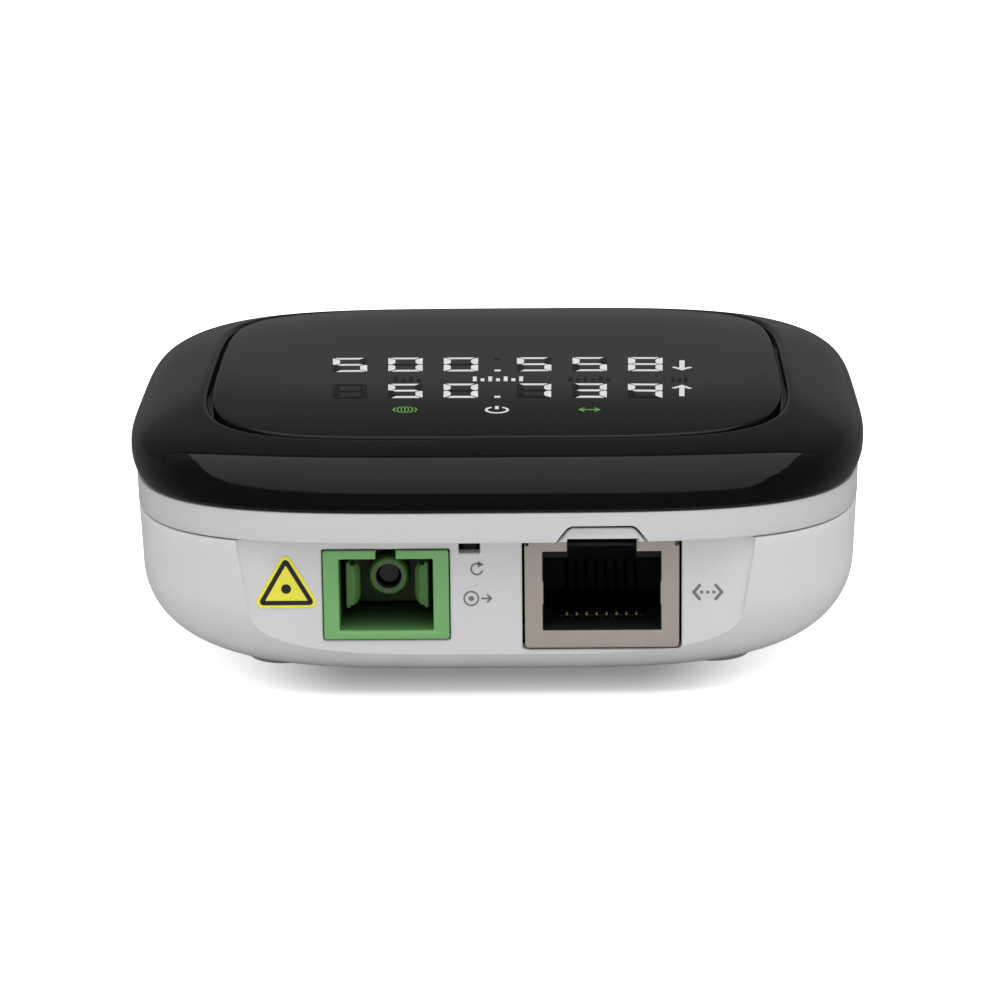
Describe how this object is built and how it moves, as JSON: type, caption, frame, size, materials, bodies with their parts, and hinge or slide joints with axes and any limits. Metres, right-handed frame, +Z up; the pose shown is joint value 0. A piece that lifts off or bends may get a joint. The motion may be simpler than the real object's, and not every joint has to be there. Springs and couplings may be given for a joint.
{
  "type": "optical network terminal",
  "caption": "Desk-top fibre terminal: white shell with SC and RJ45 ports under a glossy black cover that holds a smoked numeric display.",
  "frame": {"origin": "on the ground plane under the feet, at the middle of the body's width and depth", "axes": "+Z up, -Y towards someone facing the ports, +X to that person's right"},
  "size_m": [0.077, 0.0684, 0.0279],
  "materials": {
    "white_plastic": "fine moulded satin texture",
    "black_gloss": "polished, mirror-like black",
    "smoked_window": "polished smoked panel",
    "grey_rubber": "matt",
    "steel": "zinc plated",
    "label_paper": "blank satin film",
    "sticker_yellow": "satin film with a dark border",
    "sc_green": "satin moulded",
    "sc_holder_green": "satin moulded",
    "ceramic": "ground zirconia ceramic",
    "transceiver_metal": "machined",
    "gold_plate": "gold plated",
    "flex_film": "amber film",
    "nickel": "nickel plated sheet",
    "black_plastic": "moulded black",
    "board_green": "solder mask",
    "heat_pad_grey": "soft gap filler",
    "aluminium": "extruded and anodised",
    "ferrite": "sintered ferrite",
    "diffuser_film": "white diffusing film",
    "socket_plastic": "cream connector plastic"
  },
  "bodies": {
    "housing": {"bottom_shell": "white_plastic", "mid_collar": "white_plastic", "top_cover": "black_gloss", "display_window": "smoked_window", "rubber_foot_1": "grey_rubber", "rubber_foot_2": "grey_rubber", "rubber_foot_3": "grey_rubber", "rubber_foot_4": "grey_rubber", "case_screw_1": "steel", "case_screw_2": "steel", "case_screw_3": "steel", "case_screw_4": "steel", "base_label": "label_paper", "port_sticker": "sticker_yellow", "sc_housing": "sc_green", "sc_latch_holder": "sc_holder_green", "ceramic_sleeve": "ceramic", "fibre_stub": "ceramic", "transceiver_block": "transceiver_metal", "laser_can": "gold_plate", "receiver_can": "gold_plate", "transceiver_flex": "flex_film", "rj45_shield": "nickel", "rj45_insert": "black_plastic", "reset_switch": "steel", "main_board": "board_green", "board_screw_1": "steel", "board_screw_2": "steel", "network_processor": "black_plastic", "heat_pad": "heat_pad_grey", "heat_sink": "aluminium", "memory_chip": "black_plastic", "flash_chip": "black_plastic", "crystal": "steel", "ethernet_transformer": "black_plastic", "power_inductor": "ferrite", "capacitor_large": "aluminium", "capacitor_small": "aluminium", "display_board": "board_green", "light_mask": "black_plastic", "diffuser_sheet": "diffuser_film", "ribbon_socket_main": "socket_plastic", "ribbon_socket_display": "socket_plastic", "ribbon_cable": "socket_plastic"},
    "reset_pusher": {"reset_pusher": "black_plastic"},
    "sc_latch_left": {"sc_latch_left": "sc_holder_green"},
    "sc_latch_right": {"sc_latch_right": "sc_holder_green"},
    "rj45_contacts": {"rj45_contact_1": "gold_plate", "rj45_contact_2": "gold_plate", "rj45_contact_3": "gold_plate", "rj45_contact_4": "gold_plate", "rj45_contact_5": "gold_plate", "rj45_contact_6": "gold_plate", "rj45_contact_7": "gold_plate", "rj45_contact_8": "gold_plate"}
  },
  "joints": [
    {"name": "reset_press", "type": "slide", "parent": "housing", "child": "reset_pusher", "axis": [0, 1, 0], "range_m": [0, 0.00035]},
    {"name": "sc_latch_left_flex", "type": "hinge", "parent": "housing", "child": "sc_latch_left", "pos_m": [-0.01485, -0.0227, 0.011], "axis": [0, 0, -1], "range_deg": [0, 3]},
    {"name": "sc_latch_right_flex", "type": "hinge", "parent": "housing", "child": "sc_latch_right", "pos_m": [-0.00735, -0.0227, 0.011], "axis": [0, 0, 1], "range_deg": [0, 3]},
    {"name": "rj45_contacts_press", "type": "hinge", "parent": "housing", "child": "rj45_contacts", "pos_m": [0.0107, -0.0278, 0.0079], "axis": [-1, 0, 0], "range_deg": [0, 12]}
  ]
}
